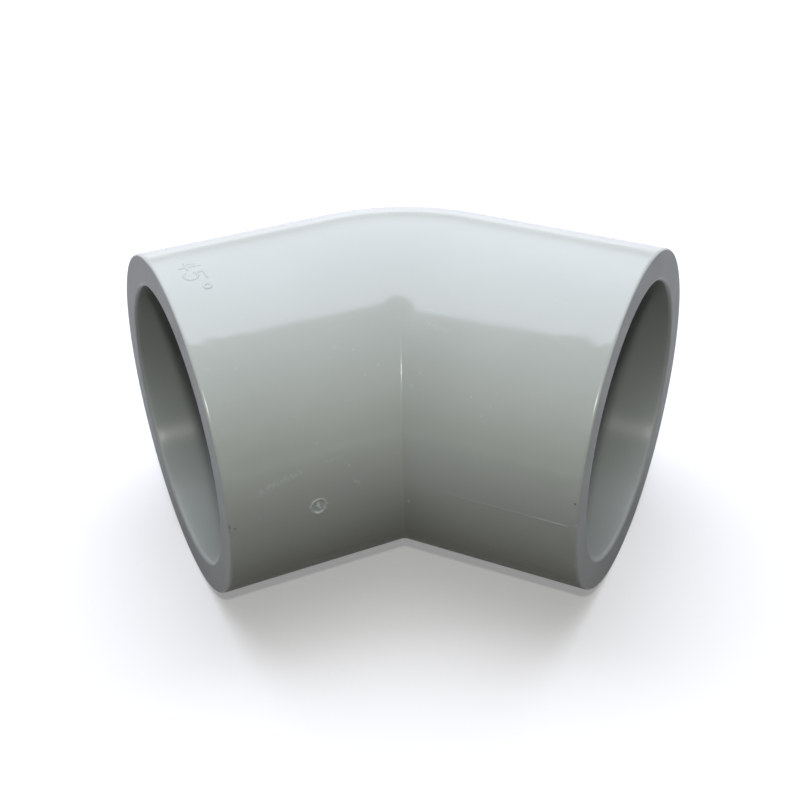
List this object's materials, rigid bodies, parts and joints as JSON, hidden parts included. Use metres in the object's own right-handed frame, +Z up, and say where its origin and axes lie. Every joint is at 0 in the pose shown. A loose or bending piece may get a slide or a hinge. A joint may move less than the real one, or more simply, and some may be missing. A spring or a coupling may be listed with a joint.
{
  "type": "pipe elbow fitting",
  "caption": "Moulded 45 degree elbow with a plain glue-in socket in each leg, joining two plastic pressure pipes at a bend.",
  "frame": {"origin": "middle of the underside, on the surface that the elbow lies on", "axes": "+Z up; both sockets' axes are level; -X leg is the left one; the inside of the bend faces -Y"},
  "size_m": [0.3328, 0.2355, 0.1977],
  "materials": {
    "grey_pvc": "moulded, light grey, soft gloss"
  },
  "bodies": {
    "root": {"elbow_body": "grey_pvc"}
  },
  "joints": []
}
